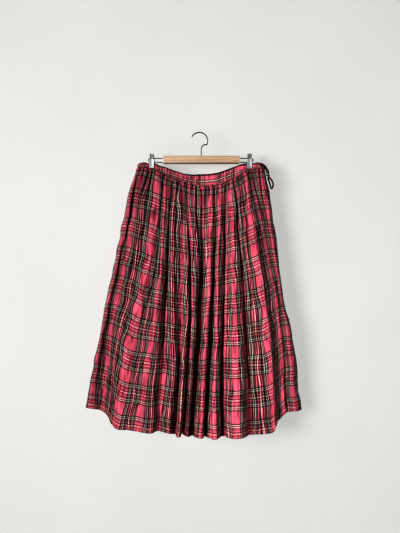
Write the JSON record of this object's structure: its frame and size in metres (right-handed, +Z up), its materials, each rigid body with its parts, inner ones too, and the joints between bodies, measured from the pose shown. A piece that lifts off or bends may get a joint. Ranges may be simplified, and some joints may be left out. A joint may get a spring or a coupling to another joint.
{
  "type": "tartan skirt on a clip hanger",
  "caption": "Long gathered tartan skirt with an elastic waistband and drawstring, clipped flat to a wooden bar hanger with a wire hook.",
  "frame": {"origin": "inside of the top of the hanger's hook, where a rod or a nail carries it", "axes": "+Z up, +X to the viewer's right, and the front of the skirt faces -Y"},
  "size_m": [0.6492, 0.1122, 0.9111],
  "materials": {
    "tartan": "crinkled matt cotton in a red check",
    "wood": "satin varnish",
    "steel": "bright plated steel"
  },
  "bodies": {
    "root": {"skirt_front": "tartan", "skirt_back": "tartan", "waistband_front": "tartan", "waistband_back": "tartan", "hanger_bar": "wood", "hanger_hook": "steel", "hanger_wire_left": "steel", "hanger_wire_right": "steel", "clip_left_front": "steel", "clip_left_back": "steel", "clip_left_saddle": "steel", "clip_right_front": "steel", "clip_right_back": "steel", "clip_right_saddle": "steel", "tie_strand_outer": "tartan", "tie_strand_inner": "tartan", "tie_knot": "tartan", "tie_loop": "tartan"}
  },
  "joints": []
}
